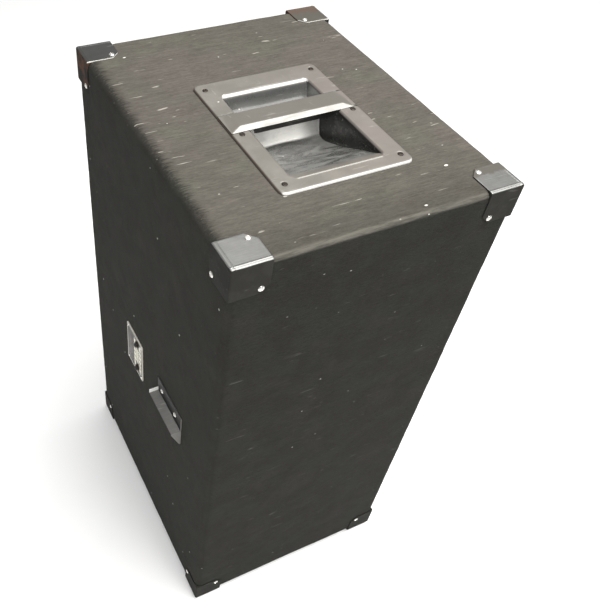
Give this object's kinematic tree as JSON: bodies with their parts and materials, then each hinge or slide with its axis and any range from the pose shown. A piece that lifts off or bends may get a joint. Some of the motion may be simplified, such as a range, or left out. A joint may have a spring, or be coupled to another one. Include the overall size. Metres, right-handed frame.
{
  "type": "pa speaker cabinet",
  "caption": "Tall carpet-covered loudspeaker cabinet with a recessed top strap handle, steel corner protectors, full steel front grille and a rear jack plate with a small metal ledge.",
  "frame": {"origin": "middle of the footprint, on the floor under the four rubber feet", "axes": "front grille faces -Y, rear connections face +Y, carrying handle on top at +Z"},
  "size_m": [0.5798, 0.4785, 1.028],
  "materials": {
    "carpet": "matte",
    "plywood": "matte",
    "grille_black": "satin",
    "handle_black": "satin",
    "black_screw": "satin",
    "corner_steel": "satin",
    "nickel": "polished",
    "plate_grey": "satin",
    "ledge_black": "satin",
    "rubber": "matte",
    "black_plastic": "satin",
    "cast_frame": "satin",
    "gasket": "matte",
    "paper_cone": "matte",
    "cloth_edge": "matte",
    "spider_cloth": "matte",
    "former": "satin",
    "copper": "satin",
    "ferrite": "matte",
    "zinc_steel": "satin",
    "titanium": "satin",
    "board": "satin",
    "inductor": "satin",
    "capacitor": "gloss",
    "resistor": "matte",
    "wire_sheath": "satin",
    "wadding": "matte"
  },
  "bodies": {
    "cabinet": {"bottom_panel": "plywood", "carpet_rear": "carpet", "carpet_wrap": "carpet", "corner_protectors_front": "corner_steel", "corner_protectors_rear": "corner_steel", "corner_screws": "nickel", "crossover_board": "board", "crossover_capacitors": "capacitor", "crossover_inductors": "inductor", "crossover_resistors": "resistor", "foot_screws": "zinc_steel", "front_baffle": "plywood", "glue_cleats": "plywood", "grille": "grille_black", "grille_screws": "black_screw", "grille_spacers": "black_plastic", "handle_dish": "handle_black", "handle_screws": "black_screw", "handle_strap": "handle_black", "hf_bolts": "zinc_steel", "hf_diaphragm_ring": "titanium", "hf_front_plate": "zinc_steel", "hf_gap_plate": "zinc_steel", "hf_magnet": "ferrite", "hf_phase_plug": "black_plastic", "hf_rear_cover": "black_plastic", "horn_flare": "black_plastic", "horn_screws": "black_screw", "internal_wires": "wire_sheath", "jack_bodies": "black_plastic", "jack_bushings": "nickel", "jack_nuts": "nickel", "jack_plate": "plate_grey", "jack_plate_screws": "nickel", "port_tubes": "black_plastic", "rear_ledge": "ledge_black", "rear_ledge_screws": "nickel", "rear_panel": "plywood", "rubber_feet": "rubber", "side_panel_left": "plywood", "side_panel_right": "plywood", "small_screws": "black_screw", "terminal_strips": "black_plastic", "top_panel": "plywood", "wadding": "wadding", "window_brace": "plywood", "woofer_bolts": "black_screw", "woofer_frame": "cast_frame", "woofer_gasket": "gasket", "woofer_magnet": "ferrite", "woofer_pole_plate": "zinc_steel", "woofer_tee_nuts": "zinc_steel", "woofer_top_plate": "zinc_steel"},
    "woofer_moving": {"woofer_cone": "paper_cone", "woofer_dust_cap": "paper_cone", "woofer_coil_former": "former", "woofer_voice_coil": "copper", "woofer_surround": "cloth_edge", "woofer_spider": "spider_cloth"},
    "hf_moving": {"hf_diaphragm": "titanium"}
  },
  "joints": [
    {"name": "woofer_stroke", "type": "slide", "parent": "cabinet", "child": "woofer_moving", "axis": [0, -1, 0], "range_m": [-0.008, 0.008], "stiffness_N_per_m": 4000, "deforming": ["woofer_surround", "woofer_spider"]},
    {"name": "hf_stroke", "type": "slide", "parent": "cabinet", "child": "hf_moving", "axis": [0, -1, 0], "range_m": [-0.0004, 0.0004], "stiffness_N_per_m": 20000}
  ]
}
